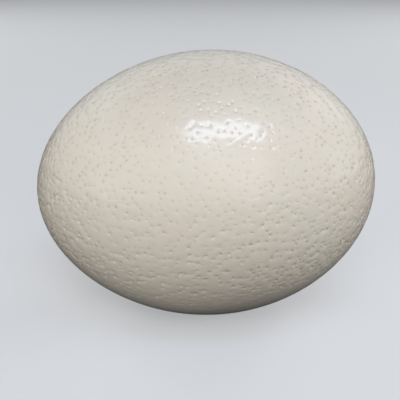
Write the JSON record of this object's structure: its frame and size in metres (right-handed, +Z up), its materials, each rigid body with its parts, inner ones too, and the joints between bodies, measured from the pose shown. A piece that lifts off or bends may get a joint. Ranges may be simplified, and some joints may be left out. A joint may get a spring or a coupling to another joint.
{
  "type": "ostrich egg",
  "caption": "Whole ostrich egg with a pore-pitted cream shell, lying on its side on a small flat spot so that it doesn't roll away.",
  "frame": {"origin": "on the surface that the egg rests on, below the middle of its outline", "axes": "+X towards the blunt end along the long axis, which is raised 3.2 degrees at that end, and +Z up"},
  "size_m": [0.1498, 0.1172, 0.1168],
  "materials": {
    "eggshell": "satin"
  },
  "bodies": {
    "root": {"ostrich_egg": "eggshell"}
  },
  "joints": []
}
